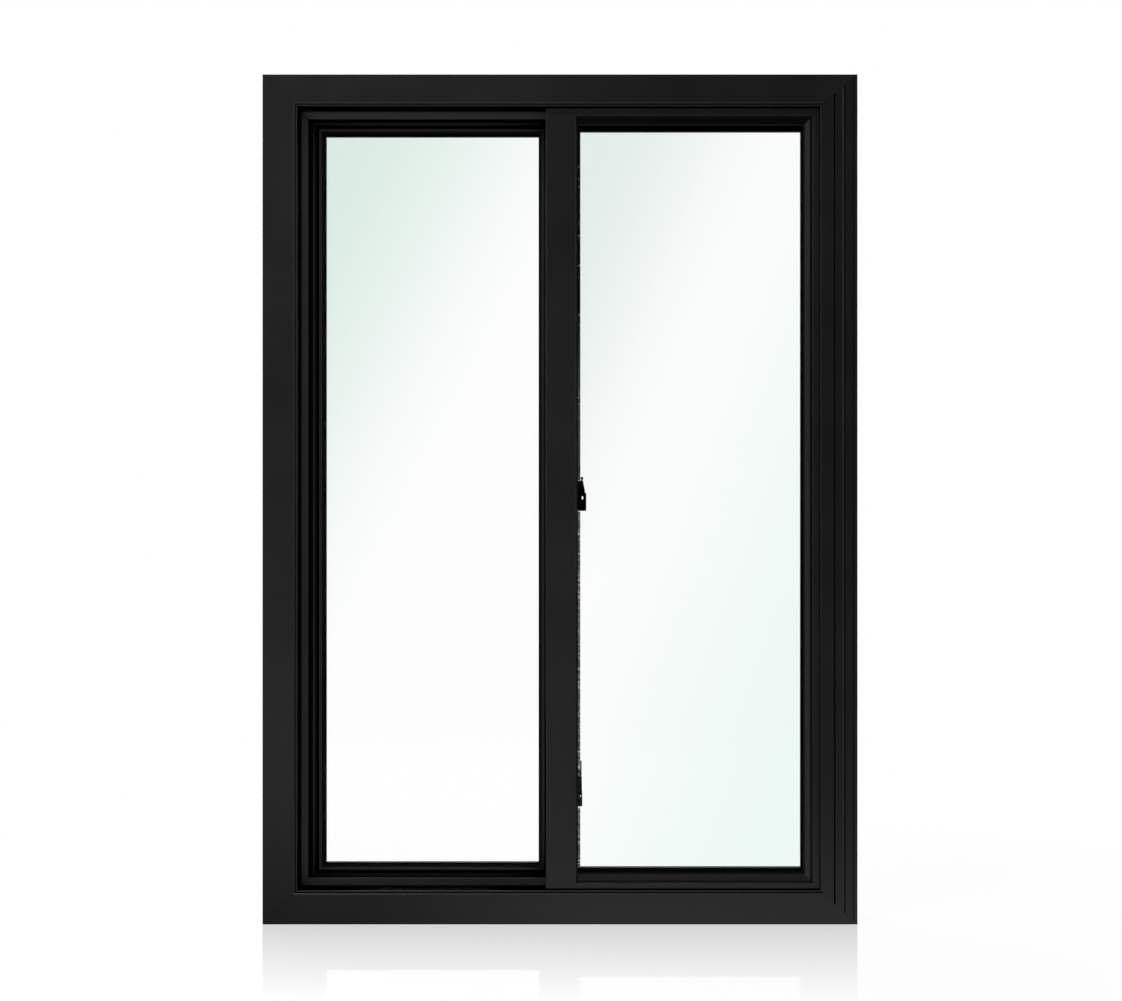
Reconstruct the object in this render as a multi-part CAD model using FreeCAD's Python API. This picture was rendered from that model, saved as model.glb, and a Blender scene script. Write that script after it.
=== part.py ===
import FreeCAD, Part
import math
import os
from FreeCAD import Vector

# Horizontal sliding window in black vinyl, seen from outdoors: the right lite is fixed in the
# exterior half of the frame and the left sash slides in a track behind it.
# Lengths are in millimetres. X runs to the right as seen from outdoors, Y from outdoors to
# indoors and Z up. The origin is the middle of the sill's underside.
# A depth is measured back from the exterior face, a width inward from a piece's outer edge.

# Overall size
frame_width = 711.2
frame_height = 1016.0

# Frame profile, from outdoors to indoors
block_depth = 25.0
slot_depth = 11.0
divider_thickness = 5.0
track_depth = 37.0
inner_leg_thickness = 4.5
frame_depth = block_depth + slot_depth + divider_thickness + track_depth + inner_leg_thickness
divider_front = block_depth + slot_depth
track_front = divider_front + divider_thickness
track_back = track_front + track_depth

# Frame profile, from the outer edge inward; the right jamb's slot and track lie further in
face_widths = {"head": 38.1, "sill": 40.6, "left": 41.6, "right": 44.3}
reveal_steps = {"head": 1.6, "sill": 1.6, "left": 1.6, "right": 0.5}
divider_edges = {"head": 47.8, "sill": 50.2, "left": 50.8, "right": 53.9}
insets = {"head": 0.0, "sill": 0.0, "left": 0.0, "right": 6.2}
reveal_lip = 5.0
slot_floor = 26.0
track_floor = 16.0
inner_leg_edge = 44.0
outer_edge_radius = 0.8
face_edge_radius = 1.2
divider_radius = 1.0
divider_slope = 2.6
leg_radius = 1.2

# Grooves in the exterior faces, from the outer edge inward: distance from the inner edge, width, depth,
# and the widths of the bevels on the groove's outer and inner edges
lip_groove = ((1.7, 1.6, 4.5, 1.5, 0.0),)
accessory_grooves = ((38.6, 1.4, 3.0, 0.0, 0.0), (28.2, 1.7, 4.0, 0.0, 1.8), (16.1, 1.9, 5.0, 0.0, 0.0))
face_grooves = {"head": lip_groove, "sill": lip_groove, "left": lip_groove, "right": accessory_grooves}
groove_edge_radius = 0.3
bevel_steepness = 0.55

# Glass line: width of frame and sash that hides the glass, and the double glazing itself
rail_sight = 65.5
pull_stile_sight = 70.4
pane_thickness = 3.0
glass_gap = 13.0
glazing_thickness = 2 * pane_thickness + glass_gap
pane_edge_clearance = 2.0
spacer_inset = 1.0

# Fixed lite
fixed_setback = 6.0
fixed_glass_setback = 6.0
fixed_side_width = 21.3
fixed_bands = {"head": 7.8, "sill": 7.8, "right": 4.1}
fixed_bead_width = 6.3
fixed_bead_step = 2.4
fixed_step_depth = 5.0
fixed_bead_rise = 3.8
fixed_bead_lip = 1.8
fixed_bead_radii = (0.5, 0.8)
fixed_edge_radius = 1.0
foot_clearance = 2.0
foot_thickness = 9.5
fixed_mitre_reach = 25.0
stile_left = -17.1
stile_right = 19.5
stile_joint = 4.8
stile_pocket = 7.5
stile_band = 2.0
stile_radius = 1.2

# Sliding sash
side_clearance = 5.0
sash_top_clearance = 12.0
sash_jamb_clearance = 12.0
roller_rail_height = 6.5
sash_bottom_clearance = 5.5
meeting_sight = -26.0
sash_face_setback = 4.0
sash_glass_setback = 6.0
sash_bead_width = 11.5
sash_band = 4.0
sash_bead_flat = 3.5
sash_bead_foot = 0.4
sash_bead_radius = 1.0
sash_cove = 4.0
sash_radius = 1.2
pull_rib_height = 8.0
pull_rib_thickness = 3.0
pull_rib_place = 30.0
pull_rib_radius = 1.4

# Glazing legs on the indoor side of both lites
leg_reveal = 2.0
leg_bevel = 4.0
leg_lip = 1.2

# Gaskets round the glass
gasket_width = 2.0
gasket_height = 1.3

# Interlock hooks on the two meeting stiles
hook_thickness = 2.0
hook_gap = 2.0
hook_reach = 10.0
hook_end_clearance = 2.0

# Pile weatherstrip
pile_base = 6.0
pile_tip = 2.4
pile_root = 1.0
running_gap = 0.3
edge_pile_base = 3.4
edge_pile_tip = 1.6
edge_pile_reach = 5.4
edge_pile_gap = 0.5

# Rollers in the sash's bottom rail and the rail they run on
wheel_radius = 9.0
wheel_width = 7.0
wheel_rim = 1.2
wheel_groove_slope = 0.4
axle_radius = 2.0
axle_length = 11.0
carriage_length = 46.0
carriage_width = 13.0
carriage_height = 13.0
carriage_inset = 70.0
roller_rail_base = 14.0
roller_rail_web = 4.0
roller_rail_crown = 1.8
roller_rail_foot = 1.4
roller_rail_end_gap = 1.0

# Cam locks on the edge of the meeting stile: height of each, and how far its parts stand off that edge
lock_heights = {"mid": 512.4, "low": 152.1}
lock_hub_stand = {"mid": 12.4, "low": 7.6}
lock_hub_length = {"mid": 21.8, "low": 18.6}
lock_arm_stand = {"mid": 11.0, "low": 7.2}
lock_arm_end_stand = {"mid": 8.5, "low": 7.0}
lock_tip_stand = {"mid": 7.2, "low": 5.0}
lock_tip_radius = {"mid": 1.7, "low": 2.1}
lock_eye_stand = {"mid": 7.9, "low": 5.6}
lock_eye_width = {"mid": 1.8, "low": 1.0}
lock_eye_length = 3.6
lock_eye_drop = 5.8
lock_base_length = 36.8
lock_base_width = 19.0
lock_base_thickness = 3.6
lock_hub_width = 18.0
lock_tip_width = 7.0
lock_tip_rise = 3.0
lock_neck = 2.0
lock_notch = 0.8
lock_edge_radius = 1.6
lock_roundness = 0.85

# Keepers of the locks on the fixed meeting stile, from the lock's height
keeper_top = {"mid": 36.6, "low": 40.0}
keeper_hook = {"mid": 5.0, "low": 12.0}
keeper_stand = {"mid": 4.8, "low": 6.6}
keeper_drop = 18.0
keeper_thickness = 1.5
keeper_glass_gap = 0.6

# Fixing screw holes through the jambs
screw_hole_radius = 2.75
screw_hole_heights = (150.0, frame_height - 150.0)

# Working values
BACK = Vector(0, 1, 0)
INWARD = {
    "left": Vector(1, 0, 0),
    "right": Vector(-1, 0, 0),
    "head": Vector(0, 0, -1),
    "sill": Vector(0, 0, 1),
}
UP = Vector(0, 0, 1)
OUT = Vector(1, 0, 0)
end_margin = 80.0
mitre_reach = 2.0
front_y = -frame_depth / 2
wall_edges = {side: face_widths[side] + reveal_steps[side] for side in face_widths}
frame_box = (-frame_width / 2, frame_width / 2, 0.0, frame_height)


def outline(corners):
    """Closed wire through (width, depth, radius) corners, each rounded by its radius."""
    points = [Vector(w, d, 0) for w, d, radius in corners]
    starts, middles, ends = [], [], []
    for i, (w, d, radius) in enumerate(corners):
        back = (points[i - 1] - points[i]).normalize()
        ahead = (points[(i + 1) % len(points)] - points[i]).normalize()
        half = back.getAngle(ahead) / 2
        bisector = (back + ahead).normalize() if radius else Vector()
        starts.append(points[i] + back * (radius / math.tan(half)))
        ends.append(points[i] + ahead * (radius / math.tan(half)))
        middles.append(points[i] + bisector * (radius / math.sin(half) - radius))
    edges = []
    for i, (w, d, radius) in enumerate(corners):
        if radius:
            edges.append(Part.Arc(starts[i], middles[i], ends[i]).toShape())
        edges.append(Part.makeLine(ends[i], starts[(i + 1) % len(points)]))
    return Part.Wire(edges)


def prism(corners, thickness, origin, across, up):
    """Outline drawn along two directions from an origin, thickened square to both."""
    solid = Part.Face(outline(corners)).extrude(UP * thickness)
    solid.Placement = FreeCAD.Placement(origin, FreeCAD.Rotation(across, up, across.cross(up), "XYZ"))
    return solid


def bar(corners, side, box):
    """Profile run along one side of a box (left, right, bottom, top), past both of its ends."""
    left, right, bottom, top = box
    starts = {"left": (left, bottom), "right": (right, top), "head": (left, top), "sill": (right, bottom)}
    length = top - bottom if side in ("left", "right") else right - left
    along = INWARD[side].cross(BACK)
    start = Vector(starts[side][0], front_y, starts[side][1]) - along * end_margin
    return prism(corners, length + 2 * end_margin, start, INWARD[side], BACK)


def mitre_plan(side, sight, widths):
    """Elevation of one member round a sight box: 45 degree mitres as far as its neighbours are wide.

    A neighbour of no width leaves a square end.
    """
    left, right, bottom, top = sight
    own = widths[side]
    upright = side in ("left", "right")
    first, last = ("sill", "head") if upright else ("left", "right")
    low, high = (bottom, top) if upright else (left, right)
    cut_low = min(own, widths[first])
    cut_high = min(own, widths[last])
    along_out = [
        (low, 0.0),
        (low - cut_low, cut_low),
        (low - cut_low, own),
        (high + cut_high, own),
        (high + cut_high, cut_high),
        (high, 0.0),
    ]
    place = {
        "left": lambda a, o: (left - o, a),
        "right": lambda a, o: (right + o, a),
        "head": lambda a, o: (a, top + o),
        "sill": lambda a, o: (a, bottom - o),
    }[side]
    plan = []
    for a, o in along_out:
        if not plan or math.dist(plan[-1], place(a, o)) > 1e-6:
            plan.append(place(a, o))
    return plan


def through(plan):
    """Prism of an elevation plan, through the whole depth of the window."""
    points = [Vector(x, front_y - end_margin, z) for x, z in plan]
    face = Part.Face(Part.makePolygon(points + points[:1]))
    return face.extrude(BACK * (frame_depth + 2 * end_margin))


def slab(box, depth_front, depth_back):
    """Rectangular sheet between two depths."""
    left, right, bottom, top = box
    corner = Vector(left, front_y + depth_front, bottom)
    return Part.makeBox(right - left, depth_back - depth_front, top - bottom, corner)


def grown(box, left, right, bottom, top):
    """Box with each side moved outward."""
    return (box[0] - left, box[1] + right, box[2] - bottom, box[3] + top)


def ring(outer, inner, depth_front, depth_back):
    """Rectangular ring between two depths."""
    return slab(outer, depth_front, depth_back).cut(slab(inner, depth_front - 1, depth_back + 1))


def cross_rod(radius, x_start, x_end, depth, height):
    """Round rod along X."""
    return Part.makeCylinder(radius, x_end - x_start, Vector(x_start, front_y + depth, height), OUT)


def keep(name, shape):
    """Writes one piece as a clean solid."""
    shape = shape.removeSplitter()
    shape.exportStep(os.path.join("parts", name + ".step"))


def frame_section(side):
    """Frame profile: grooved face, tapered wall, slot, sloped divider, track and inner leg."""
    face = face_widths[side]
    wall = wall_edges[side]
    divider = divider_edges[side]
    slot, track, leg = [w + insets[side] for w in (slot_floor, track_floor, inner_leg_edge)]
    corners = [(0, 0, outer_edge_radius)]
    for place, width, depth, outer_bevel, inner_bevel in face_grooves[side]:
        far = face - place
        corners.append((far - width - outer_bevel, 0, groove_edge_radius))
        if outer_bevel:
            corners.append((far - width, outer_bevel * bevel_steepness, 0))
        corners.append((far - width, depth, 0))
        corners.append((far, depth, 0))
        if inner_bevel:
            corners.append((far, inner_bevel * bevel_steepness, 0))
        corners.append((far + inner_bevel, 0, groove_edge_radius))
    return corners + [
        (face, 0, face_edge_radius),
        (face, reveal_lip, 0),
        (wall, block_depth, 0),
        (slot, block_depth, 0),
        (slot, divider_front, 0),
        (wall, divider_front, 0),
        (divider, divider_front + divider_slope, divider_radius),
        (divider, track_front, divider_radius),
        (track, track_front, 0),
        (track, track_back, 0),
        (leg, track_back, leg_radius),
        (leg, frame_depth, leg_radius),
        (0, frame_depth, outer_edge_radius),
    ]


def frame_mitre(upright, level):
    """Two points of a frame mitre: the outer corner, and one past the faces' inner corner."""
    x = frame_box[0] if upright == "left" else frame_box[1]
    z = frame_box[2] if level == "sill" else frame_box[3]
    step = INWARD[upright] * face_widths[upright] + INWARD[level] * face_widths[level]
    step = step * mitre_reach
    return [(x, z), (x + step.x, z + step.z)]


def frame_members():
    """Head, sill and jambs, mitred from the outer corners to the faces' inner corners."""
    names = {"head": "frame_head", "sill": "frame_sill", "left": "left_jamb", "right": "right_jamb"}
    members = {}
    for side, name in names.items():
        if side in ("left", "right"):
            first, last = frame_mitre(side, "sill"), frame_mitre(side, "head")
        else:
            first, last = frame_mitre("left", side), frame_mitre("right", side)
        plan = first + last[::-1]
        members[name] = bar(frame_section(side), side, frame_box).common(through(plan))
    return members


def screw_holes(side):
    """Clearance holes for the fixing screws, from the jamb's outer edge to its track."""
    middle = (track_front + track_back) / 2
    left, right, bottom, top = frame_box
    wall = track_floor + insets[side]
    start = left - 1 if side == "left" else right - wall - 1
    rods = [cross_rod(screw_hole_radius, start, start + wall + 2, middle, z) for z in screw_hole_heights]
    return Part.makeCompound(rods)


def build_frame():
    """Frame members, roller rail and weatherstrip."""
    members = frame_members()
    members["left_jamb"] = members["left_jamb"].cut(screw_holes("left"))
    members["right_jamb"] = members["right_jamb"].cut(screw_holes("right"))
    for name, shape in members.items():
        keep(name, shape)
    keep("roller_rail", roller_rail())
    for side in ("head", "sill", "left"):
        keep({"head": "head_pile", "sill": "sill_pile", "left": "jamb_pile"}[side], pile(side))


def roller_rail():
    """Rounded metal rail along the floor of the sill's track."""
    left, right, bottom, top = frame_box
    middle = (track_front + track_back) / 2
    foot = roller_rail_base / 2
    web = roller_rail_web / 2
    section = [
        (track_floor, middle - foot, 0),
        (track_floor + roller_rail_foot, middle - foot, 0),
        (track_floor + roller_rail_foot, middle - web, 0),
        (track_floor + roller_rail_height, middle - web, roller_rail_crown),
        (track_floor + roller_rail_height, middle + web, roller_rail_crown),
        (track_floor + roller_rail_foot, middle + web, 0),
        (track_floor + roller_rail_foot, middle + foot, 0),
        (track_floor, middle + foot, 0),
    ]
    ends = track_floor + roller_rail_end_gap
    span = through([
        (left + ends, bottom),
        (right - ends - insets["right"], bottom),
        (right - ends - insets["right"], top),
        (left + ends, top),
    ])
    return bar(section, "sill", frame_box).common(span)


def pile_section(place, base, tip, wall, way, tall):
    """Pile strip from a place along a wall: a flat root and a brush that narrows to its tip."""
    half = (base - tip) / 2
    return [
        (place, wall, 0),
        (place + base, wall, 0),
        (place + base, wall + way * pile_root, 0),
        (place + base - half, wall + way * tall, 0),
        (place + half, wall + way * tall, 0),
        (place, wall + way * pile_root, 0),
    ]


def pile_place(side):
    """Outer edge of the pile, which ends level with the lower wall of the track."""
    return min(divider_edges[side], inner_leg_edge + insets[side]) - pile_base


def pile(side):
    """Two strips of pile on the track's walls, whose tips brush the sash."""
    tall = side_clearance - running_gap
    strips = []
    for wall, way in ((track_front, 1), (track_back, -1)):
        section = pile_section(pile_place(side), pile_base, pile_tip, wall, way, tall)
        strips.append(bar(section, side, frame_box))
    left, right, bottom, top = frame_box
    if side == "left":
        ends = pile_base + running_gap
        span = (left, right, bottom + pile_place("sill") + ends, top - pile_place("head") - ends)
    else:
        span = (left + pile_place("left"), right - pile_place("right"), bottom, top)
    cutter = slab(span, 0, frame_depth)
    return Part.makeCompound([strip.common(cutter) for strip in strips])


# Fixed lite
fixed_glass_front = fixed_setback + fixed_glass_setback
fixed_glass_back = fixed_glass_front + glazing_thickness
fixed_box = (
    stile_left,
    frame_width / 2 - wall_edges["right"],
    wall_edges["sill"],
    frame_height - wall_edges["head"],
)
fixed_sight = (
    stile_right + stile_band,
    fixed_box[1] - fixed_side_width,
    rail_sight,
    frame_height - rail_sight,
)
fixed_names = {"right": "side", "head": "top", "sill": "bottom"}
fixed_widths = {
    "right": fixed_side_width,
    "head": rail_sight - wall_edges["head"],
    "sill": rail_sight - wall_edges["sill"],
}
foot_reach = slot_floor + foot_clearance
foot_lengths = {side: wall_edges[side] - insets[side] - foot_reach for side in fixed_names}


def around_fixed_glass(extra):
    """Fixed lite's sight box moved out on three sides, by each side's band and an extra width."""
    right, sill, head = [fixed_bands[side] + extra for side in ("right", "sill", "head")]
    return grown(fixed_sight, 0, right, sill, head)


def fixed_section(side):
    """Rail or side stile of the fixed lite, with the foot that lies in the frame's slot."""
    width = fixed_widths[side]
    bead_out = width - fixed_bands[side] - fixed_bead_width
    face_end = bead_out - fixed_bead_step
    leg_end = width - leg_reveal
    foot = -foot_lengths[side]
    return [
        (0, fixed_setback, 0),
        (face_end, fixed_setback, fixed_edge_radius),
        (face_end, fixed_setback + fixed_step_depth, 0),
        (bead_out, fixed_setback + fixed_step_depth, 0),
        (bead_out, fixed_glass_back, 0),
        (leg_end, fixed_glass_back, 0),
        (leg_end, fixed_glass_back + leg_lip, 0),
        (leg_end - leg_bevel, divider_front, 0),
        (foot, divider_front, 0),
        (foot, divider_front - foot_thickness, 0),
        (0, divider_front - foot_thickness, 0),
    ]


def fixed_bead_section():
    """Snap-in bead, sloping back to the glass."""
    return [
        (0, fixed_glass_front - fixed_bead_rise, fixed_bead_radii[0]),
        (fixed_bead_width, fixed_glass_front - fixed_bead_lip, fixed_bead_radii[1]),
        (fixed_bead_width, fixed_glass_front, 0),
        (0, fixed_glass_front, 0),
    ]


def fixed_members():
    """Two rails and the side stile, mitred at the faces' right corners and square at the meeting stile."""
    lip = fixed_bead_width + fixed_bead_step
    inner = around_fixed_glass(lip - fixed_mitre_reach)
    inner = (stile_left,) + inner[1:]
    widths = {"left": 0.0}
    for side in fixed_names:
        face = fixed_widths[side] - fixed_bands[side] - lip
        widths[side] = fixed_mitre_reach + face + foot_lengths[side]
    left, right, bottom, top = fixed_box
    stile_space = slab(
        (left - 1, stile_right, bottom + stile_joint, top - stile_joint), 0, frame_depth
    )
    around = grown(fixed_box, end_margin, end_margin, end_margin, end_margin)
    beyond_walls = ring(around, fixed_box, 0, divider_front - foot_thickness)
    for side, name in fixed_names.items():
        shape = bar(fixed_section(side), side, fixed_box)
        shape = shape.common(through(mitre_plan(side, inner, widths)))
        kind = "stile" if side == "right" else "rail"
        keep("fixed_" + name + "_" + kind, shape.cut(stile_space).cut(beyond_walls))


def fixed_beads():
    """Three beads round the fixed glass, mitred at the right."""
    inner = (stile_right,) + around_fixed_glass(0)[1:]
    outer = around_fixed_glass(fixed_bead_width)
    widths = dict.fromkeys(fixed_names, fixed_bead_width)
    widths["left"] = 0.0
    for side, name in fixed_names.items():
        shape = bar(fixed_bead_section(), side, outer)
        keep("fixed_" + name + "_bead", shape.common(through(mitre_plan(side, inner, widths))))


def between_dividers(left, right):
    """Box between the head's and the sill's dividers, with room at both ends."""
    bottom = divider_edges["sill"] + hook_end_clearance
    return (left, right, bottom, frame_height - divider_edges["head"] - hook_end_clearance)


def fixed_meeting_stile():
    """Flat-faced stile between the rails, pocketed for the glass, with its interlock hook behind."""
    width = stile_right - stile_left
    pocket = width - stile_pocket
    left, right, bottom, top = fixed_box
    body = bar(
        [
            (0, fixed_setback, stile_radius),
            (width, fixed_setback, stile_radius),
            (width, fixed_glass_front, 0),
            (pocket, fixed_glass_front, 0),
            (pocket, fixed_glass_back, 0),
            (width, fixed_glass_back, 0),
            (width, divider_front, stile_radius),
            (0, divider_front, stile_radius),
        ],
        "left",
        fixed_box,
    )
    body = body.common(slab((left, stile_right, bottom + stile_joint, top - stile_joint), 0, frame_depth))
    sash_front = track_front + side_clearance
    tongue_back = sash_front - hook_gap
    leg = hook_gap + hook_thickness
    hook = bar(
        [
            (hook_gap, divider_front - 1, 0),
            (leg, divider_front - 1, 0),
            (leg, tongue_back - hook_thickness, 0),
            (leg + hook_reach, tongue_back - hook_thickness, 0),
            (leg + hook_reach, tongue_back, 0),
            (hook_gap, tongue_back, 0),
        ],
        "left",
        fixed_box,
    )
    hook = hook.common(slab(between_dividers(left, stile_right), 0, frame_depth))
    return body.fuse(hook)


def glazing(prefix, sight, pane_box, glass_front, gasket_outer, gasket_inner):
    """Two panes, the spacer between them and the gasket on the outdoor face."""
    gap_front = glass_front + pane_thickness
    gap_back = gap_front + glass_gap
    keep(prefix + "_outer_pane", slab(pane_box, glass_front, gap_front))
    keep(prefix + "_inner_pane", slab(pane_box, gap_back, gap_back + pane_thickness))
    spacer_box = grown(pane_box, -spacer_inset, -spacer_inset, -spacer_inset, -spacer_inset)
    keep(prefix + "_spacer", ring(spacer_box, sight, gap_front, gap_back))
    keep(prefix + "_gasket", ring(gasket_outer, gasket_inner, glass_front - gasket_height, glass_front))


def build_fixed_lite():
    """Fixed lite: members, beads and glazing."""
    fixed_members()
    fixed_beads()
    keep("fixed_meeting_stile", fixed_meeting_stile())
    pane_box = around_fixed_glass(fixed_bead_width - pane_edge_clearance)
    pane_box = (stile_right - stile_pocket + pane_edge_clearance,) + pane_box[1:]
    gasket_outer = (stile_right,) + around_fixed_glass(0)[1:]
    trim = -gasket_width
    gasket_inner = grown(gasket_outer, trim, trim, trim, trim)
    glazing("fixed", fixed_sight, pane_box, fixed_glass_front, gasket_outer, gasket_inner)


# Sliding sash
sash_front = track_front + side_clearance
sash_back = track_back - side_clearance
sash_face = sash_front + sash_face_setback
sash_glass_front = sash_front + sash_glass_setback
sash_glass_back = sash_glass_front + glazing_thickness
sash_bottom = track_floor + roller_rail_height + sash_bottom_clearance
sash_top = frame_height - track_floor - sash_top_clearance
sash_left = -frame_width / 2 + track_floor + sash_jamb_clearance
sash_box = (sash_left, stile_right, sash_bottom, sash_top)
sash_sight = (-frame_width / 2 + pull_stile_sight, meeting_sight, rail_sight, frame_height - rail_sight)
sash_widths = {
    "left": sash_sight[0] - sash_box[0],
    "right": sash_box[1] - sash_sight[1],
    "head": sash_box[3] - sash_sight[3],
    "sill": sash_sight[2] - sash_box[2],
}
sash_bead_edge = sash_band + sash_bead_width


def sash_section(width):
    """Rail or stile of the sliding sash, with its glazing leg on the indoor side."""
    pocket = width - sash_bead_edge
    leg_end = width - leg_reveal
    return [
        (0, sash_face, sash_radius),
        (pocket, sash_face, 0),
        (pocket, sash_glass_back, 0),
        (leg_end, sash_glass_back, 0),
        (leg_end, sash_glass_back + leg_lip, 0),
        (leg_end - leg_bevel, sash_back, 0),
        (0, sash_back, sash_radius),
    ]


def sash_bead_section():
    """Coved bead that stands forward of the sash's face and stops at the glass."""
    foot = sash_face + sash_bead_foot
    return [
        (0, foot, 0),
        (sash_bead_width - sash_bead_flat - sash_cove, foot, sash_cove),
        (sash_bead_width - sash_bead_flat, sash_front, sash_bead_radius),
        (sash_bead_width, sash_front, sash_bead_radius),
        (sash_bead_width, sash_glass_front, 0),
        (0, sash_glass_front, 0),
    ]


def pull_rib():
    """Finger pull along the indoor face of the pull stile."""
    section = [
        (pull_rib_place, sash_back - 1, 0),
        (pull_rib_place + pull_rib_thickness, sash_back - 1, 0),
        (pull_rib_place + pull_rib_thickness, sash_back + pull_rib_height, pull_rib_radius),
        (pull_rib_place, sash_back + pull_rib_height, pull_rib_radius),
    ]
    ends = sash_bead_edge
    span = grown(sash_sight, end_margin, 0, -ends, -ends)
    return bar(section, "left", sash_box).common(slab(span, 0, frame_depth + end_margin))


def sash_hook():
    """Interlock hook on the outdoor face of the sash's meeting stile."""
    width = sash_widths["right"]
    tongue_front = divider_front + hook_gap
    leg = stile_right - (stile_left + stile_right) / 2
    section = [
        (leg, sash_face + 1, 0),
        (leg - hook_thickness, sash_face + 1, 0),
        (leg - hook_thickness, tongue_front, 0),
        (leg + hook_reach, tongue_front, 0),
        (leg + hook_reach, tongue_front + hook_thickness, 0),
        (leg, tongue_front + hook_thickness, 0),
    ]
    span = between_dividers(stile_right - width, stile_right)
    return bar(section, "right", sash_box).common(slab(span, 0, frame_depth))


def sash_edge_pile():
    """Pile down the leading edge of the meeting stile, in three lengths between the locks."""
    depth = sash_face + sash_radius
    section = pile_section(depth, edge_pile_base, edge_pile_tip, 0, -1, edge_pile_reach)
    strip = bar([(w, d, radius) for d, w, radius in section], "right", sash_box)
    reach = lock_base_length / 2
    breaks = [sash_bottom]
    for height in sorted(lock_heights.values()):
        breaks += [height - reach, height + reach]
    breaks.append(sash_top)
    lengths = []
    for low, high in zip(breaks[::2], breaks[1::2]):
        span = (stile_right, stile_right + end_margin, low + edge_pile_gap, high - edge_pile_gap)
        lengths.append(strip.common(slab(span, 0, frame_depth)))
    return Part.makeCompound(lengths)


def roller_pockets():
    """Mortises for the roller carriages in the underside of the bottom rail."""
    return Part.makeCompound([roller_block(x) for x in roller_places()])


def roller_places():
    """Middles of the two rollers along the sash."""
    return (sash_box[0] + carriage_inset, sash_box[1] - carriage_inset)


def roller_block(x):
    """Space that one roller carriage fills."""
    middle = (track_front + track_back) / 2
    half = carriage_length / 2
    box = (x - half, x + half, sash_bottom, sash_bottom + carriage_height)
    return slab(box, middle - carriage_width / 2, middle + carriage_width / 2)


def roller(x):
    """Carriage with its wheel well, and the grooved wheel on its axle."""
    middle = (track_front + track_back) / 2
    axle_height = track_floor + roller_rail_height + running_gap + wheel_radius - wheel_rim
    centre = Vector(x, front_y + middle, axle_height)
    half = wheel_width / 2 + running_gap
    start = centre - BACK * half
    well = Part.makeCylinder(wheel_radius + running_gap, 2 * half, start, BACK)
    pin = Part.makeCylinder(axle_radius, axle_length, centre - BACK * (axle_length / 2), BACK)
    carriage = roller_block(x).cut(well).fuse(pin)
    web = roller_rail_web / 2 + running_gap
    rim = wheel_width / 2
    section = [
        (axle_radius, -rim, 0),
        (wheel_radius, -rim, 0),
        (wheel_radius, -web, 0),
        (wheel_radius - wheel_rim, -web + wheel_groove_slope, 0),
        (wheel_radius - wheel_rim, web - wheel_groove_slope, 0),
        (wheel_radius, web, 0),
        (wheel_radius, rim, 0),
        (axle_radius, rim, 0),
    ]
    wheel = Part.Face(outline(section)).revolve(Vector(), Vector(0, 1, 0), 360)
    wheel.translate(centre)
    return carriage, wheel


def build_sash():
    """Sliding sash: members, beads, glazing and rollers."""
    names = {
        "head": "sash_top_rail",
        "sill": "sash_bottom_rail",
        "left": "sash_pull_stile",
        "right": "sash_meeting_stile",
    }
    for side, name in names.items():
        shape = bar(sash_section(sash_widths[side]), side, sash_box)
        shape = shape.common(through(mitre_plan(side, sash_sight, sash_widths)))
        if side == "sill":
            shape = shape.cut(roller_pockets())
        if side == "left":
            shape = shape.fuse(pull_rib())
        if side == "right":
            shape = shape.fuse(sash_hook())
        keep(name, shape)
    inner = grown(sash_sight, sash_band, sash_band, sash_band, sash_band)
    outer = grown(inner, sash_bead_width, sash_bead_width, sash_bead_width, sash_bead_width)
    widths = dict.fromkeys(names, sash_bead_width)
    beads = {
        "head": "sash_top_bead",
        "sill": "sash_bottom_bead",
        "left": "sash_left_bead",
        "right": "sash_right_bead",
    }
    for side, name in beads.items():
        shape = bar(sash_bead_section(), side, outer)
        keep(name, shape.common(through(mitre_plan(side, inner, widths))))
    lap = sash_bead_edge - pane_edge_clearance
    trim = -gasket_width
    gasket_inner = grown(inner, trim, trim, trim, trim)
    pane_box = grown(sash_sight, lap, lap, lap, lap)
    glazing("sash", sash_sight, pane_box, sash_glass_front, inner, gasket_inner)
    keep("sash_edge_pile", sash_edge_pile())
    for x, name in zip(roller_places(), ("left_roller", "right_roller")):
        carriage, wheel = roller(x)
        keep(name + "_carriage", carriage)
        keep(name + "_wheel", wheel)


# Cam locks
def lock_plan(length, bottom_width, top_width, thickness, stand, low):
    """Upright tongue that faces +X, at a stand-off from the stile's edge: round below, narrower above."""
    half_bottom = bottom_width / 2
    half_top = top_width / 2
    corners = [
        (-half_bottom, 0, half_bottom * lock_roundness),
        (half_bottom, 0, half_bottom * lock_roundness),
        (half_top, length, half_top * lock_roundness),
        (-half_top, length, half_top * lock_roundness),
    ]
    depth = (sash_front + sash_back) / 2
    origin = Vector(stile_right + stand, front_y + depth, low)
    return prism(corners, thickness, origin, BACK, UP)


def lock_side(corners, height):
    """Side view of a lock piece, drawn by stand-off and height, as wide as the hub."""
    depth = (sash_front + sash_back + lock_hub_width) / 2
    return prism(corners, lock_hub_width, Vector(stile_right, front_y + depth, height), OUT, UP)


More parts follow.
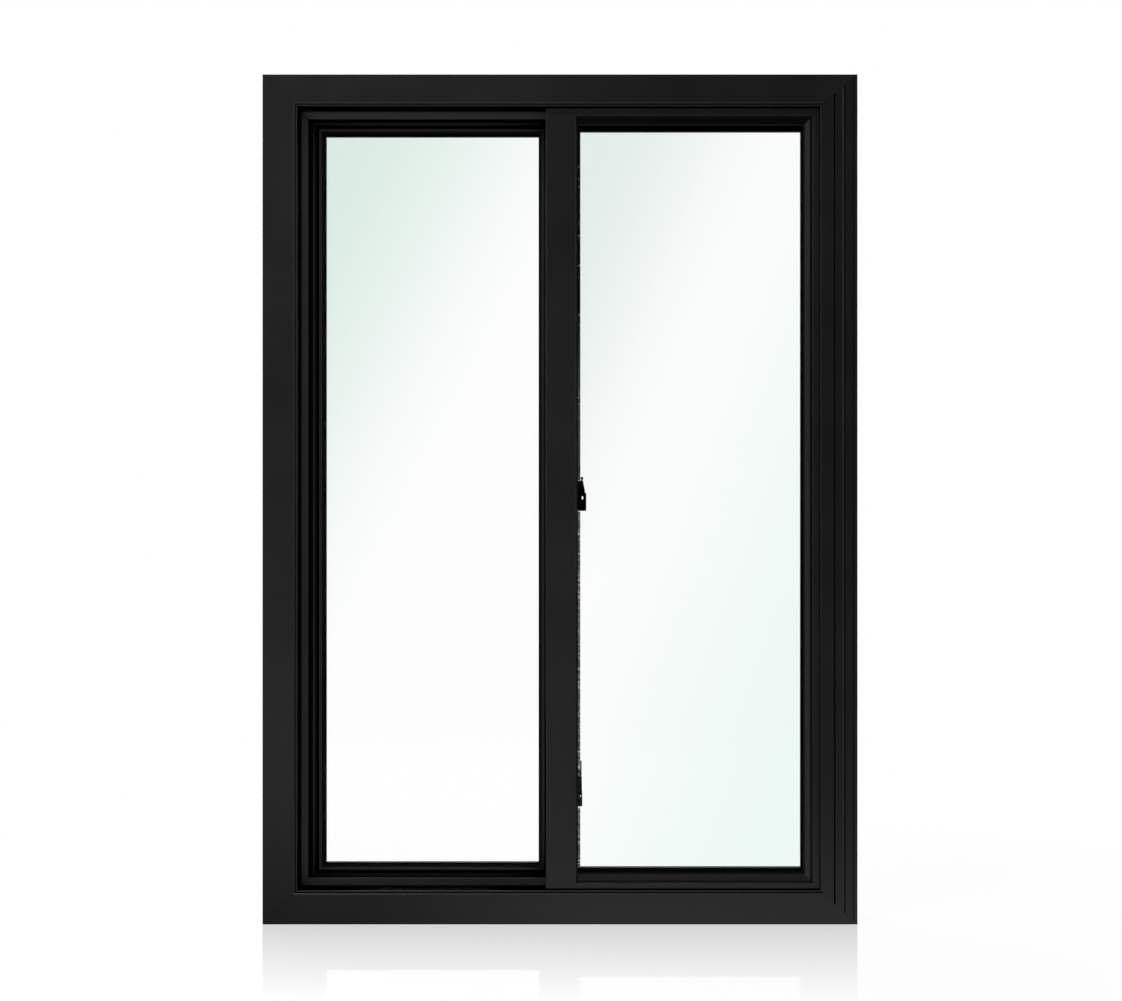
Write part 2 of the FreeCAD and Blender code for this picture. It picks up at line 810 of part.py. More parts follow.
def lock_lever(which, height):
    """Hub and tapering arm with a rolled tip, cut to a rounded plan that narrows towards the tip."""
    half = lock_base_length / 2
    top = half + lock_tip_rise
    tip = lock_tip_stand[which]
    radius = lock_tip_radius[which]
    hub_end = lock_hub_length[which] - half
    body = lock_side([
        (lock_base_thickness, -half, 0),
        (lock_hub_stand[which], -half, lock_edge_radius),
        (lock_hub_stand[which], hub_end, lock_edge_radius / 2),
        (lock_arm_stand[which] - lock_notch, hub_end + lock_notch, 0),
        (lock_arm_stand[which], hub_end + 2 * lock_notch, 0),
        (lock_arm_end_stand[which], half, lock_edge_radius / 2),
        (lock_base_thickness, half, 0),
    ], height)
    neck = lock_side([
        (tip - lock_neck / 2, half - 1, 0),
        (tip + lock_neck / 2, half - 1, 0),
        (tip + lock_neck / 2, top, 0),
        (tip - lock_neck / 2, top, 0),
    ], height)
    roll_front = front_y + (sash_front + sash_back - lock_hub_width) / 2
    roll_start = Vector(stile_right + tip, roll_front, height + top)
    roll = Part.makeCylinder(radius, lock_hub_width, roll_start, BACK)
    eye_half = lock_eye_width[which] / 2
    eye_top = hub_end - lock_eye_drop + lock_eye_length / 2
    eye = lock_side([
        (lock_eye_stand[which] - eye_half, eye_top - lock_eye_length, 0),
        (lock_eye_stand[which] + eye_half, eye_top - lock_eye_length, 0),
        (lock_eye_stand[which] + eye_half, eye_top, 0),
        (lock_eye_stand[which] - eye_half, eye_top, 0),
    ], height)
    plan = lock_plan(
        half + top + radius, lock_hub_width, lock_tip_width, end_margin, lock_base_thickness, height - half
    )
    return body.fuse(neck).fuse(roll).common(plan).cut(eye)


def keeper(which, height):
    """Strike on the fixed meeting stile: a plate whose lip turns up into a hook."""
    front = fixed_glass_back + keeper_glass_gap
    back = divider_front - stile_radius
    top = keeper_top[which]
    turn = top - keeper_hook[which]
    stand = keeper_stand[which]
    corners = [
        (0, -keeper_drop, 0),
        (keeper_thickness, -keeper_drop, 0),
        (keeper_thickness, turn - keeper_thickness, 0),
        (stand, turn - keeper_thickness, keeper_thickness / 2),
        (stand, top, keeper_thickness / 3),
        (stand - keeper_thickness, top, keeper_thickness / 3),
        (stand - keeper_thickness, turn, 0),
        (0, turn, 0),
    ]
    return prism(corners, back - front, Vector(stile_right, front_y + back, height), OUT, UP)


def build_locks():
    """Two cam locks with their keepers."""
    for which, height in lock_heights.items():
        low = height - lock_base_length / 2
        base = lock_plan(lock_base_length, lock_base_width, lock_base_width, lock_base_thickness, 0, low)
        keep(which + "_lock_base", base)
        keep(which + "_lock_lever", lock_lever(which, height))
        keep(which + "_lock_keeper", keeper(which, height))


os.makedirs("parts", exist_ok=True)
build_frame()
build_fixed_lite()
build_sash()
build_locks()
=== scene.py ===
# %% [markdown]
# # A horizontal sliding window in black vinyl
#
# The window comes from a CAD model, so its frame, sash, glass and locks already have their true shapes.
# This script dresses it: a camera, soft light, a finish for every surface, and the small repeated things
# that are too fine for the CAD model, such as the bristles of the weatherstrip. The first step loads the
# model, whose objects all stay where they are, and keeps its outer box, to compare with at the end.

# %% Load the window
import itertools
import math

import bpy
from mathutils import Matrix, Vector


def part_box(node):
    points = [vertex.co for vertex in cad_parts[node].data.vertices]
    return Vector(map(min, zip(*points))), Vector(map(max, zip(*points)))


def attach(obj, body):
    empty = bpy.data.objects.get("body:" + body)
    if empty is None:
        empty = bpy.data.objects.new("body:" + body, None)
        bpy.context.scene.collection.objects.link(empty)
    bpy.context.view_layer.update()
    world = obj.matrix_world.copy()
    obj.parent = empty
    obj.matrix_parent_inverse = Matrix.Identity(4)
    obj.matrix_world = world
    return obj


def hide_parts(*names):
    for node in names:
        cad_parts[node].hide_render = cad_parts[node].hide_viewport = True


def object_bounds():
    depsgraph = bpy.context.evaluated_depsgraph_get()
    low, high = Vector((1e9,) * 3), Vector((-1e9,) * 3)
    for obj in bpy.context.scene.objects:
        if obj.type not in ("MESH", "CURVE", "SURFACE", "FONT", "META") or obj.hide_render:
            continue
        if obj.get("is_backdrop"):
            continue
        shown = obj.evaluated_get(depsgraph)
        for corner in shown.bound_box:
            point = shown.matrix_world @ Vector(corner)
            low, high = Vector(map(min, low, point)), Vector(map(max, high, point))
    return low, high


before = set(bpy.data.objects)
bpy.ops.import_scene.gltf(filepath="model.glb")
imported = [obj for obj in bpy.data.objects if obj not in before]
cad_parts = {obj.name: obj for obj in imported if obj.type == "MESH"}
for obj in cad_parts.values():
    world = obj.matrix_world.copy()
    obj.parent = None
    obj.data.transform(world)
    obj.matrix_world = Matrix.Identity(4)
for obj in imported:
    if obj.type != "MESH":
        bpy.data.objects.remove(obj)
cad_low, cad_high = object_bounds()
print("window of", len(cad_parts), "pieces,", [round(v, 4) for v in cad_high - cad_low], "m")

# %% [markdown]
# ## Camera
#
# The picture looks straight at the outdoor face, from about half its height. A long lens far away keeps
# the sides of the frame parallel, and still lets the deep reveals show a little more at the edges than in
# the middle. The lens follows from two lengths: how far the camera stands, and how wide the picture is at
# the window's face.

# %% Place the camera
camera_reach = 2.868
camera_side = 0.0012
camera_height = 0.5067
picture_width = 1.3408
camera_data = bpy.data.cameras.new("camera")
camera_data.sensor_width = 36.0
camera_data.lens = camera_data.sensor_width * camera_reach / picture_width
camera = bpy.data.objects.new("camera", camera_data)
camera.location = (camera_side, cad_low.y - camera_reach, camera_height)
camera.rotation_euler = (math.radians(90), 0, 0)
bpy.context.scene.collection.objects.link(camera)
bpy.context.scene.camera = camera
bpy.context.scene.view_settings.view_transform = "Standard"
print("camera lens", round(camera_data.lens, 2), "mm")

# %% [markdown]
# ## Writing node trees
#
# Every finish below is a tree of nodes. They could be placed by hand in Blender's editor, but a script can be
# read and run again. Typing each node and link is long, so `add_node` makes a node with its settings and
# wires its inputs in one call. An input is given either a plain value or the output socket of an earlier
# node. The short helpers after it stand for what is used most: a sum, the three parts of a vector, one range
# of values spread over another, and a grey.


# %% Helpers for nodes
def add_node(tree, kind, inputs=None, **settings):
    node = tree.nodes.new(kind)
    for name, value in settings.items():
        setattr(node, name, value)
    for name, value in (inputs or {}).items():
        if isinstance(value, bpy.types.NodeSocket):
            tree.links.new(value, node.inputs[name])
        else:
            node.inputs[name].default_value = value
    return node


def sum_up(tree, operation, *values):
    return add_node(tree, "ShaderNodeMath", dict(enumerate(values)), operation=operation).outputs[0]


def parts_of(tree, vector):
    return add_node(tree, "ShaderNodeSeparateXYZ", {0: vector}).outputs


def spread(tree, value, low, high, to_low, to_high, smooth=False):
    ends = {"Value": value, "From Min": low, "From Max": high, "To Min": to_low, "To Max": to_high}
    kind = "SMOOTHSTEP" if smooth else "LINEAR"
    return add_node(tree, "ShaderNodeMapRange", ends, interpolation_type=kind).outputs[0]


def grey(level):
    return (level, level, level, 1)


print("helpers ready")

# %% [markdown]
# ## The studio
#
# The window stands in a white studio. In a real one, white paper behind the object and dark cloth beside the
# camera give each surface something fitting to mirror. Here the world and the floor do that by asking how a
# ray came to them. Light Path's depths tell: a ray that was reflected once counts as a reflection, even if it
# passes through glass afterwards, and a ray that a matt surface scattered doesn't.


# %% Tell rays apart
def ray_kinds(tree):
    rays = add_node(tree, "ShaderNodeLightPath").outputs
    scattered = sum_up(tree, "MINIMUM", rays["Diffuse Depth"], 1)
    mirrored = sum_up(tree, "MINIMUM", rays["Glossy Depth"], 1)
    unscattered = sum_up(tree, "SUBTRACT", 1, scattered)
    in_gloss = sum_up(tree, "MULTIPLY", mirrored, unscattered)
    ahead = sum_up(tree, "MULTIPLY", sum_up(tree, "SUBTRACT", 1, mirrored), unscattered)
    return rays, in_gloss, ahead


print("rays told apart")

# %% [markdown]
# The world is plain white wherever the camera looks at it, directly or through the glass. To the surfaces it
# is softer, so that black vinyl keeps its depth. Reflections see a bright background, softer sides, and a dim
# room on the camera's side, which reaches higher above the camera than beside it. That is why the flat faces
# stay dark while the rounded edges catch thin bright lines.

# %% Light the world
soft_world = 0.2
dim_room = 0.05
dim_rise = 0.25
dim_edge = (-0.97, -0.72)
left_side = 0.85
right_side = 0.8
side_from = 0.1
side_to = 0.8
world = bpy.data.worlds.new("studio")
world.use_nodes = True
bpy.context.scene.world = world
tree = world.node_tree
tree.nodes.clear()
rays, in_gloss, ahead = ray_kinds(tree)
towards = parts_of(tree, add_node(tree, "ShaderNodeTexCoord").outputs["Generated"])
above = sum_up(tree, "MAXIMUM", towards["Z"], 0)
ahead_of_it = sum_up(tree, "MULTIPLY_ADD", above, -dim_rise, towards["Y"])
front = spread(tree, ahead_of_it, *dim_edge, dim_room, 1, smooth=True)
left = spread(tree, towards["X"], -side_to, -side_from, left_side, 1, smooth=True)
right = spread(tree, towards["X"], side_from, side_to, 1, right_side, smooth=True)
around = sum_up(tree, "MULTIPLY", sum_up(tree, "MULTIPLY", left, right), front)
strength = spread(tree, in_gloss, 0, 1, soft_world, around)
seen = sum_up(tree, "MAXIMUM", rays["Is Camera Ray"], rays["Is Transmission Ray"])
strength = spread(tree, sum_up(tree, "MULTIPLY", seen, ahead), 0, 1, strength, 1)
sky = add_node(tree, "ShaderNodeBackground", {"Color": grey(1), "Strength": strength})
add_node(tree, "ShaderNodeOutputWorld", {"Surface": sky.outputs[0]})
print("world of", soft_world, "on surfaces and", dim_room, "in front")

# %% [markdown]
# The main lamp is a tall strip close in front of the left jamb. From there it reaches into every recess of
# the frame, and it falls off towards the right, so that the right jamb is the darkest. It is kept out of
# reflections, or it would be a white bar on the vinyl. A soft box above and one behind light the edges.


# %% Place the lamps
def soft_box(name, place, aim, size, power, in_reflections=True):
    lamp = bpy.data.lights.new(name, "AREA")
    lamp.shape = "RECTANGLE"
    lamp.size, lamp.size_y = size
    lamp.energy = power
    holder = bpy.data.objects.new(name, lamp)
    holder.location = place
    holder.rotation_euler = (Vector(aim) - Vector(place)).to_track_quat("-Z", "Y").to_euler()
    holder.visible_camera = False
    holder.visible_transmission = False
    holder.visible_glossy = in_reflections
    bpy.context.scene.collection.objects.link(holder)


middle = (cad_low + cad_high) / 2
soft_box("strip_box", place=(-0.32, -1.1, 0.68), aim=(-0.32, 0, 0.68), size=(0.3, 1.3), power=5.3,
         in_reflections=False)
soft_box("top_box", place=(-0.9, -1.2, 2.2), aim=middle, size=(1.2, 0.8), power=8)
soft_box("back_box", place=(-0.8, 1.9, 1.6), aim=middle, size=(1.2, 1.2), power=20)
print("studio with 3 soft boxes")

# %% [markdown]
# ## The floor
#
# The floor is a smooth white board. It shows the soft shadow under the sill and a faint mirror image of the
# frame that fades towards the camera. The fade comes from the place on the floor, not from the camera: the
# polish is strongest along the window's front and gone half a metre away. Further out the board melts into
# the white background. In reflections it darkens towards the dim side of the studio, close in front of the
# left jamb, further out on the right, and behind the window.

# %% Lay the floor
half = 8.0
corners = [(-half, -half, 0), (half, -half, 0), (half, half, 0), (-half, half, 0)]
floor_mesh = bpy.data.meshes.new("floor")
floor_mesh.from_pydata(corners, [], [(0, 1, 2, 3)])
floor = bpy.data.objects.new("floor", floor_mesh)
bpy.context.scene.collection.objects.link(floor)
floor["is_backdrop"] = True
board = bpy.data.materials.new("white_board")
board.use_nodes = True
floor_mesh.materials.append(board)
tree = board.node_tree
tree.nodes.clear()
rays, in_gloss, ahead = ray_kinds(tree)
spot = add_node(tree, "ShaderNodeTexCoord").outputs["Object"]
place = parts_of(tree, spot)
print("floor", 2 * half, "m square")

# %% [markdown]
# What a reflection sees of the floor is a product of four fades. Each has a range on the floor, in metres,
# and the share of white at its two ends.

# %% Fade the floor in reflections
far_range = (-2.3, -1.6)
far_white = 0.9
close_range = (-1.1, -0.5)
close_sides = (-0.35, 0.1)
close_left = 0.15
close_right = 0.75
behind_range = (0.0, 0.4)
behind_white = 0.1
outer_range = (-0.5, -0.3)
outer_sides = (-0.06, 0.1)
outer_right = 0.45
gloss_white = spread(tree, place["Y"], *far_range, dim_room, far_white, smooth=True)
close_white = spread(tree, place["X"], *close_sides, close_left, close_right, smooth=True)
close_in = spread(tree, place["Y"], *close_range, 1, close_white, smooth=True)
behind = spread(tree, place["Y"], *behind_range, 1, behind_white, smooth=True)
outer_white = spread(tree, place["X"], *outer_sides, 1, outer_right, smooth=True)
further_out = spread(tree, place["Y"], *outer_range, outer_white, 1, smooth=True)
for share in (close_in, behind, further_out):
    gloss_white = sum_up(tree, "MULTIPLY", gloss_white, share)
print("floor fades from", far_white, "of white")

# %% [markdown]
# To the camera the board is matt, with a little light of its own that keeps the shadow soft, and with polish
# mixed in along the window's front. Scattered light meets a plain matt board instead, reflections meet the
# fades, and whoever looks through the glass meets plain white. Light Path chooses between them.


# %% Finish the floor
def vector_sum(tree, operation, *values):
    return add_node(tree, "ShaderNodeVectorMath", dict(enumerate(values)), operation=operation).outputs


def mix_shaders(tree, factor, first, second):
    return add_node(tree, "ShaderNodeMixShader", {0: factor, 1: first.outputs[0], 2: second.outputs[0]})


polish = 0.32
polish_reach = 0.46
polish_sides = (0.4, 0.6)
polish_rough = 0.03
melt_range = (0.5, 1.1)
own_light = 0.92
seen_white = 0.16
board_white = 0.5
white = grey(1)
fade = spread(tree, place["Y"], cad_low.y - polish_reach, cad_low.y, 0, polish)
beside = spread(tree, sum_up(tree, "ABSOLUTE", place["X"]), *polish_sides, 1, 0, smooth=True)
mirror = sum_up(tree, "MULTIPLY", fade, beside)
away = vector_sum(tree, "LENGTH", spot)["Value"]
far = spread(tree, away, *melt_range, 0, 1, smooth=True)
matt = add_node(tree, "ShaderNodeBsdfDiffuse", {"Color": grey(board_white)})
matt_seen = add_node(tree, "ShaderNodeBsdfDiffuse", {"Color": grey(seen_white)})
glow = add_node(tree, "ShaderNodeEmission", {"Color": white, "Strength": own_light})
lit = add_node(tree, "ShaderNodeEmission", {"Color": white, "Strength": 1.0})
dimmed = add_node(tree, "ShaderNodeEmission", {"Color": white, "Strength": gloss_white})
polished = add_node(tree, "ShaderNodeBsdfGlossy", {"Color": white, "Roughness": polish_rough})
near = add_node(tree, "ShaderNodeAddShader", {0: matt_seen.outputs[0], 1: glow.outputs[0]})
near = mix_shaders(tree, mirror, near, polished)
viewed = mix_shaders(tree, far, near, lit)
through = sum_up(tree, "MULTIPLY", rays["Is Transmission Ray"], ahead)
surface = mix_shaders(tree, rays["Is Camera Ray"], matt, viewed)
surface = mix_shaders(tree, in_gloss, surface, dimmed)
surface = mix_shaders(tree, through, surface, lit)
add_node(tree, "ShaderNodeOutputMaterial", {"Surface": surface.outputs[0]})
print("floor finish with", len(tree.nodes), "nodes")

# %% [markdown]
# ## Grain
#
# No surface is one flat colour. Vinyl drawn through a die has a faint satin grain and fine lines along its
# length, moulded nylon and painted metal are a little mottled, and rubber is dull and uneven. One node group
# makes all of these from three noises on the object's own coordinates. Stretching the coordinates turns
# specks into drawn lines.


# %% The grain group
def start_group(name, inputs, outputs):
    group = bpy.data.node_groups.new(name, "ShaderNodeTree")
    for title, kind, value in inputs:
        socket = group.interface.new_socket(name=title, in_out="INPUT", socket_type=kind)
        socket.default_value = value
    for title in outputs:
        group.interface.new_socket(name=title, in_out="OUTPUT", socket_type="NodeSocketFloat")
    return group, group.nodes.new("NodeGroupInput").outputs, group.nodes.new("NodeGroupOutput")


def noise(tree, place, scale, detail):
    inputs = {"Vector": place, "Scale": scale, "Detail": detail}
    return add_node(tree, "ShaderNodeTexNoise", inputs).outputs[0]


grain_inputs = [
    ("Place", "NodeSocketVector", (0, 0, 0)),
    ("Stretch", "NodeSocketVector", (1, 1, 1)),
    ("Fine Scale", "NodeSocketFloat", 1500.0),
    ("Broad Scale", "NodeSocketFloat", 9.0),
]
line_share, speck_share = 0.6, 0.4
cloud_share, fine_share = 0.55, 0.45
tone_range = (0.35, 0.65)
rough_range = (0.3, 0.7)
grain, given, result = start_group("grain", grain_inputs, ["Tone", "Rough", "Height"])
drawn = vector_sum(grain, "MULTIPLY", given["Place"], given["Stretch"])["Vector"]
lines = noise(grain, drawn, given["Fine Scale"], 2.0)
specks = noise(grain, given["Place"], given["Fine Scale"], 3.0)
clouds = noise(grain, given["Place"], given["Broad Scale"], 4.0)
height = sum_up(grain, "MULTIPLY_ADD", lines, line_share, sum_up(grain, "MULTIPLY", specks, speck_share))
tone = sum_up(grain, "MULTIPLY_ADD", clouds, cloud_share, sum_up(grain, "MULTIPLY", height, fine_share))
grain.links.new(spread(grain, tone, *tone_range, 0, 1), result.inputs["Tone"])
grain.links.new(spread(grain, clouds, *rough_range, 0, 1), result.inputs["Rough"])
grain.links.new(height, result.inputs["Height"])
print("grain group with", len(grain.nodes), "nodes")

# %% [markdown]
# ## Weld seams
#
# The corners of a vinyl frame are cut at a slant and melted together. A thin groove stays where the bead of
# molten vinyl was scraped off. The CAD pieces already meet along those cuts, so the seam is only a mask in
# the finish: the distance from a line that starts at a corner point and runs along the cut. The finish uses
# it to darken the colour and to sink the bump.

# %% The seam group
seam_inputs = [
    ("Place", "NodeSocketVector", (0, 0, 0)),
    ("Corner", "NodeSocketVector", (0, 0, 0)),
    ("Across", "NodeSocketVector", (1, 0, 1)),
    ("Half Width", "NodeSocketFloat", 0.0004),
]
full_inside = 0.4
seam, given, result = start_group("weld_seam", seam_inputs, ["Mask"])
offset = vector_sum(seam, "SUBTRACT", given["Place"], given["Corner"])["Vector"]
side = vector_sum(seam, "DOT_PRODUCT", offset, given["Across"])["Value"]
away = sum_up(seam, "DIVIDE", sum_up(seam, "ABSOLUTE", side), given["Half Width"])
seam.links.new(spread(seam, away, full_inside, 1.0, 1, 0, smooth=True), result.inputs["Mask"])
print("seam group with", len(seam.nodes), "nodes")

# %% [markdown]
# ## Starting a finish
#
# Every finish starts from Blender's Principled shader and the object's own coordinates, so that it stays on
# the piece when the piece moves. The groups above are then placed in it as single nodes, which keeps each
# finish short.


# %% Start a finish
def start_finish(name, settings):
    material = bpy.data.materials.new(name)
    material.use_nodes = True
    tree = material.node_tree
    shader = tree.nodes["Principled BSDF"]
    for title, value in settings.items():
        shader.inputs[title].default_value = value
    return material, tree, shader, add_node(tree, "ShaderNodeTexCoord").outputs["Object"]


def place_group(tree, group, inputs):
    return add_node(tree, "ShaderNodeGroup", inputs, node_tree=group).outputs


def blend_colours(tree, factor, first, second):
    node = add_node(tree, "ShaderNodeMix", {0: factor, 6: first, 7: second}, data_type="RGBA")
    return node.outputs[2]


print("ready to start finishes")

# %% [markdown]
# ## Black vinyl
#
# The frame, the fixed lite, the sash and the beads are the same satin black vinyl. Its colour is a very dark
# grey that the grain varies a little, its roughness follows the broad clouds, and the drawn lines are a bump
# of a few microns. Members that lie down and members that stand up each get their own material, because the
# lines run along the member.
#
# In the slots and between the sash and the frame almost no light arrives, so shade is painted there:
# where the surface is hemmed in, its colour goes to black and its roughness up. The Ambient Occlusion node
# measures that. A face that looks outdoors gets a bonus, because light still falls straight on it, and a side
# wall gets none. The right jamb has three grooves, and only the first gets black painted shade, so past it
# the bonus is larger. The gloss goes with the painted shade, or the dark places would still shine.

# %% The vinyl
along_x = (0.006, 1, 1)
along_z = (1, 1, 0.006)
bump_depth = 0.00002
vinyl_bump = 0.1
vinyl_rough = (0.3, 0.38)
vinyl_scales = {"Fine Scale": 1700.0, "Broad Scale": 8.0}
dark_blue, light_blue = 1.05, 1.04
seam_black = grey(0.002)
seam_sink = 3.0
hemmed_reach = 0.12
painted_shade_range = (0.86, 1.0)
painted_shade_black = grey(0.0006)
hemmed_rough = 0.85
pale_bonus = 1.0
pale_blend = 0.0005


def vinyl(name, stretch, seams=(), bonus=0.7, dark=0.011, light=0.0163, sheen=0.45, pale_from=None):
    material, tree, shader, place = start_finish(name, {"Specular IOR Level": sheen})
    parts = place_group(tree, grain, {"Place": place, "Stretch": stretch, **vinyl_scales})
    height = parts["Height"]
    dark_tone = (dark, dark, dark * dark_blue, 1)
    light_tone = (light, light, light * light_blue, 1)
    colour = blend_colours(tree, parts["Tone"], dark_tone, light_tone)
    for line in seams:
        mask = place_group(tree, seam, {"Place": place, **line})["Mask"]
        colour = blend_colours(tree, mask, colour, seam_black)
        height = sum_up(tree, "SUBTRACT", height, sum_up(tree, "MULTIPLY", mask, seam_sink))
    normal = add_node(tree, "ShaderNodeTexCoord").outputs["Normal"]
    facing = sum_up(tree, "ABSOLUTE", parts_of(tree, normal)["Y"])
    # Painted shade: hemmed-in places go black, rough and without gloss.
    hemmed = add_node(tree, "ShaderNodeAmbientOcclusion", {"Distance": hemmed_reach}, samples=8)
    if pale_from:
        pale_ends = (pale_from - pale_blend, pale_from + pale_blend)
        bonus = spread(tree, parts_of(tree, place)["X"], *pale_ends, bonus, pale_bonus)
    unshaded_share = sum_up(tree, "MULTIPLY_ADD", facing, bonus, hemmed.outputs["AO"])
    unshaded_share = spread(tree, unshaded_share, *painted_shade_range, 0, 1)
    colour = blend_colours(tree, unshaded_share, painted_shade_black, colour)
    rough = spread(tree, parts["Rough"], 0, 1, *vinyl_rough)
    rough = spread(tree, unshaded_share, 0, 1, hemmed_rough, rough)
    strength = sum_up(tree, "MULTIPLY", facing, vinyl_bump)
    bump = add_node(tree, "ShaderNodeBump", {"Strength": strength, "Distance": bump_depth, "Height": height})
    tree.links.new(colour, shader.inputs["Base Color"])
    tree.links.new(rough, shader.inputs["Roughness"])
    tree.links.new(sum_up(tree, "MULTIPLY", unshaded_share, sheen), shader.inputs["Specular IOR Level"])
    tree.links.new(bump.outputs[0], shader.inputs["Normal"])
    return material


print("vinyl with a roughness of", vinyl_rough)

# %% [markdown]
# Each cut runs from the outer corner of the frame to the inner corner of its face. The four faces have
# slightly different widths, so every corner has its own slant, and the line is given by a corner point and a
# direction across it.


# %% Finish the frame
def cover(material, *names):
    for name in names:
        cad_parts[name].material_slots[0].material = material
    print(material.name, "on", len(names), "pieces")


half_width = (cad_high.x - cad_low.x) / 2
face_widths = {"head": 0.0381, "sill": 0.0406, "left": 0.0416, "right": 0.0443}


def cut_line(corner, run, half_width=0.0005):
    across = Vector((run[1], 0, -run[0])).normalized()
    return {"Corner": (corner[0], 0, corner[1]), "Across": across, "Half Width": half_width}


def frame_cut(level, upright):
    sign_x = -1 if upright == "left" else 1
    sign_z = -1 if level == "sill" else 1
    corner = (sign_x * half_width, cad_high.z if level == "head" else 0)
    return cut_line(corner, (-sign_x * face_widths[upright], -sign_z * face_widths[level]))


frame_corners = itertools.product(("head", "sill"), ("left", "right"))
cuts = {(level, upright): frame_cut(level, upright) for level, upright in frame_corners}
cover(vinyl("frame_head_vinyl", along_x, [cuts["head", "left"], cuts["head", "right"]]), "frame_head")
cover(vinyl("frame_sill_vinyl", along_x, [cuts["sill", "left"], cuts["sill", "right"]]), "frame_sill")
cover(vinyl("left_jamb_vinyl", along_z, [cuts["head", "left"], cuts["sill", "left"]]), "left_jamb")
right_cuts = [cuts["head", "right"], cuts["sill", "right"]]
first_groove_end = 0.334
# Painted shade: the right jamb has darker tones, as the lamp falls off towards the right.
right_jamb_shaded = vinyl("right_jamb_painted_shade_vinyl", along_z, right_cuts, dark=0.009, light=0.0134,
                    pale_from=first_groove_end)
cover(right_jamb_shaded, "right_jamb")

# %% [markdown]
# The fixed lite and the sash are welded in the same way. Their members meet at even slants, so each needs
# only its corner points. The sash stands deep in the frame, so its faces get almost no bonus and painted
# shade keeps them black, and its beads get some, as they catch light beside the glass.


# %% Finish the sash
def even_cuts(low, high):
    corners = {}
    for z, down in ((low.z, -1), (high.z, 1)):
        for x, left in ((low.x, -1), (high.x, 1)):
            corners[down, left] = cut_line((x, z), (-left, -down))
    return corners


sash_low = Vector((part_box("sash_pull_stile")[0].x, 0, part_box("sash_bottom_rail")[0].z))
sash_high = Vector((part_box("sash_meeting_stile")[1].x, 0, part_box("sash_top_rail")[1].z))
sash_cuts = even_cuts(sash_low, sash_high)
stile_cuts = [sash_cuts[-1, -1], sash_cuts[1, -1]]
deep = 0.05
beside_glass = 0.5
cover(vinyl("sash_rail_vinyl", along_x, list(sash_cuts.values()), deep), "sash_top_rail", "sash_bottom_rail")
cover(vinyl("sash_stile_vinyl", along_z, stile_cuts, deep), "sash_pull_stile")
cover(vinyl("sash_meeting_vinyl", along_z), "sash_meeting_stile")
cover(vinyl("sash_level_bead_vinyl", along_x, bonus=beside_glass), "sash_top_bead", "sash_bottom_bead")
cover(vinyl("sash_upright_bead_vinyl", along_z, bonus=beside_glass), "sash_left_bead", "sash_right_bead")

# %% [markdown]
# The fixed lite stands further out, so its members get the full bonus. It has slanting cuts only at the
# right: its meeting stile stands square between the rails, and there the joints are level lines. Its top bead
# lies in the head's shadow, which is painted into its colour: it has the darkest tones and the least gloss.

# %% Finish the lite
lite_right, lite_bottom, lite_top = 0.3025, 0.0488, 0.9673
lite_groove = 0.0008
joint_groove = 0.0014
lite_cuts = [
    cut_line((lite_right, lite_bottom), (-1, 1), lite_groove),
    cut_line((lite_right, lite_top), (-1, -1), lite_groove),
]
stile_low, stile_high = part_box("fixed_meeting_stile")
stile_joints = [cut_line((0, z), (1, 0), joint_groove) for z in (stile_low.z, stile_high.z)]
cover(vinyl("lite_rail_vinyl", along_x, lite_cuts), "fixed_top_rail", "fixed_bottom_rail")
cover(vinyl("lite_stile_vinyl", along_z, lite_cuts), "fixed_side_stile")
cover(vinyl("lite_meeting_vinyl", along_z, stile_joints), "fixed_meeting_stile")
# Painted shadow: the top bead's dark tones and low gloss stand for the head's shadow.
cover(vinyl("lite_top_bead_painted_shadow_vinyl", along_x, bonus=0.4, dark=0.002, light=0.003, sheen=0.08), "fixed_top_bead")
# Painted shade: a smaller bonus leaves more of the bottom bead black.
cover(vinyl("lite_bottom_bead_vinyl", along_x, bonus=0.35), "fixed_bottom_bead")
cover(vinyl("lite_side_bead_vinyl", along_z), "fixed_side_bead")

# %% [markdown]
# ## Glass
#
# Each lite is two clear panes with air between them. Clear float glass has a breath of green, and a painted
# reflection of a pale green wall slants across each lite in its colour. The slant is a fade between two
# points on the pane, made once as a group and given its own points in each material.

# %% The slanting fade
fade_inputs = [
    ("Place", "NodeSocketVector", (0, 0, 0)),
    ("Full", "NodeSocketVector", (0, 0, 0)),
    ("Run", "NodeSocketVector", (1, 0, 1)),
]
slant, given, result = start_group("slanting_fade", fade_inputs, ["Amount"])
offset = vector_sum(slant, "SUBTRACT", given["Place"], given["Full"])["Vector"]
passed = vector_sum(slant, "DOT_PRODUCT", offset, given["Run"])["Value"]
length = vector_sum(slant, "DOT_PRODUCT", given["Run"], given["Run"])["Value"]
share = sum_up(slant, "DIVIDE", passed, length)
slant.links.new(spread(slant, share, 0, 1, 1, 0, smooth=True), result.inputs["Amount"])
print("slanting fade with", len(slant.nodes), "nodes")

# %% [markdown]
# A painted reflection is given by the point where it is full, the run over which it fades, and its colour.
# The index is lower than that of real glass, so that the panes don't darken the white behind them.

# %% Finish the glass
glass_index = 1.15
clear, faint_green = grey(1), (0.995, 1.0, 0.998, 1)
mottle_scales = {"Fine Scale": 40.0, "Broad Scale": 3.0}


def glass(name, painted_reflections):
    settings = {"Roughness": 0.0, "IOR": glass_index, "Transmission Weight": 1.0}
    material, tree, shader, place = start_finish(name, settings)
    mottle = place_group(tree, grain, {"Place": place, **mottle_scales})
    colour = blend_colours(tree, mottle["Tone"], faint_green, clear)
    for full, run, reflection_tone in painted_reflections:
        amount = place_group(tree, slant, {"Place": place, "Full": full, "Run": run})["Amount"]
        colour = blend_colours(tree, amount, colour, reflection_tone)
    tree.links.new(colour, shader.inputs["Base Color"])
    return material
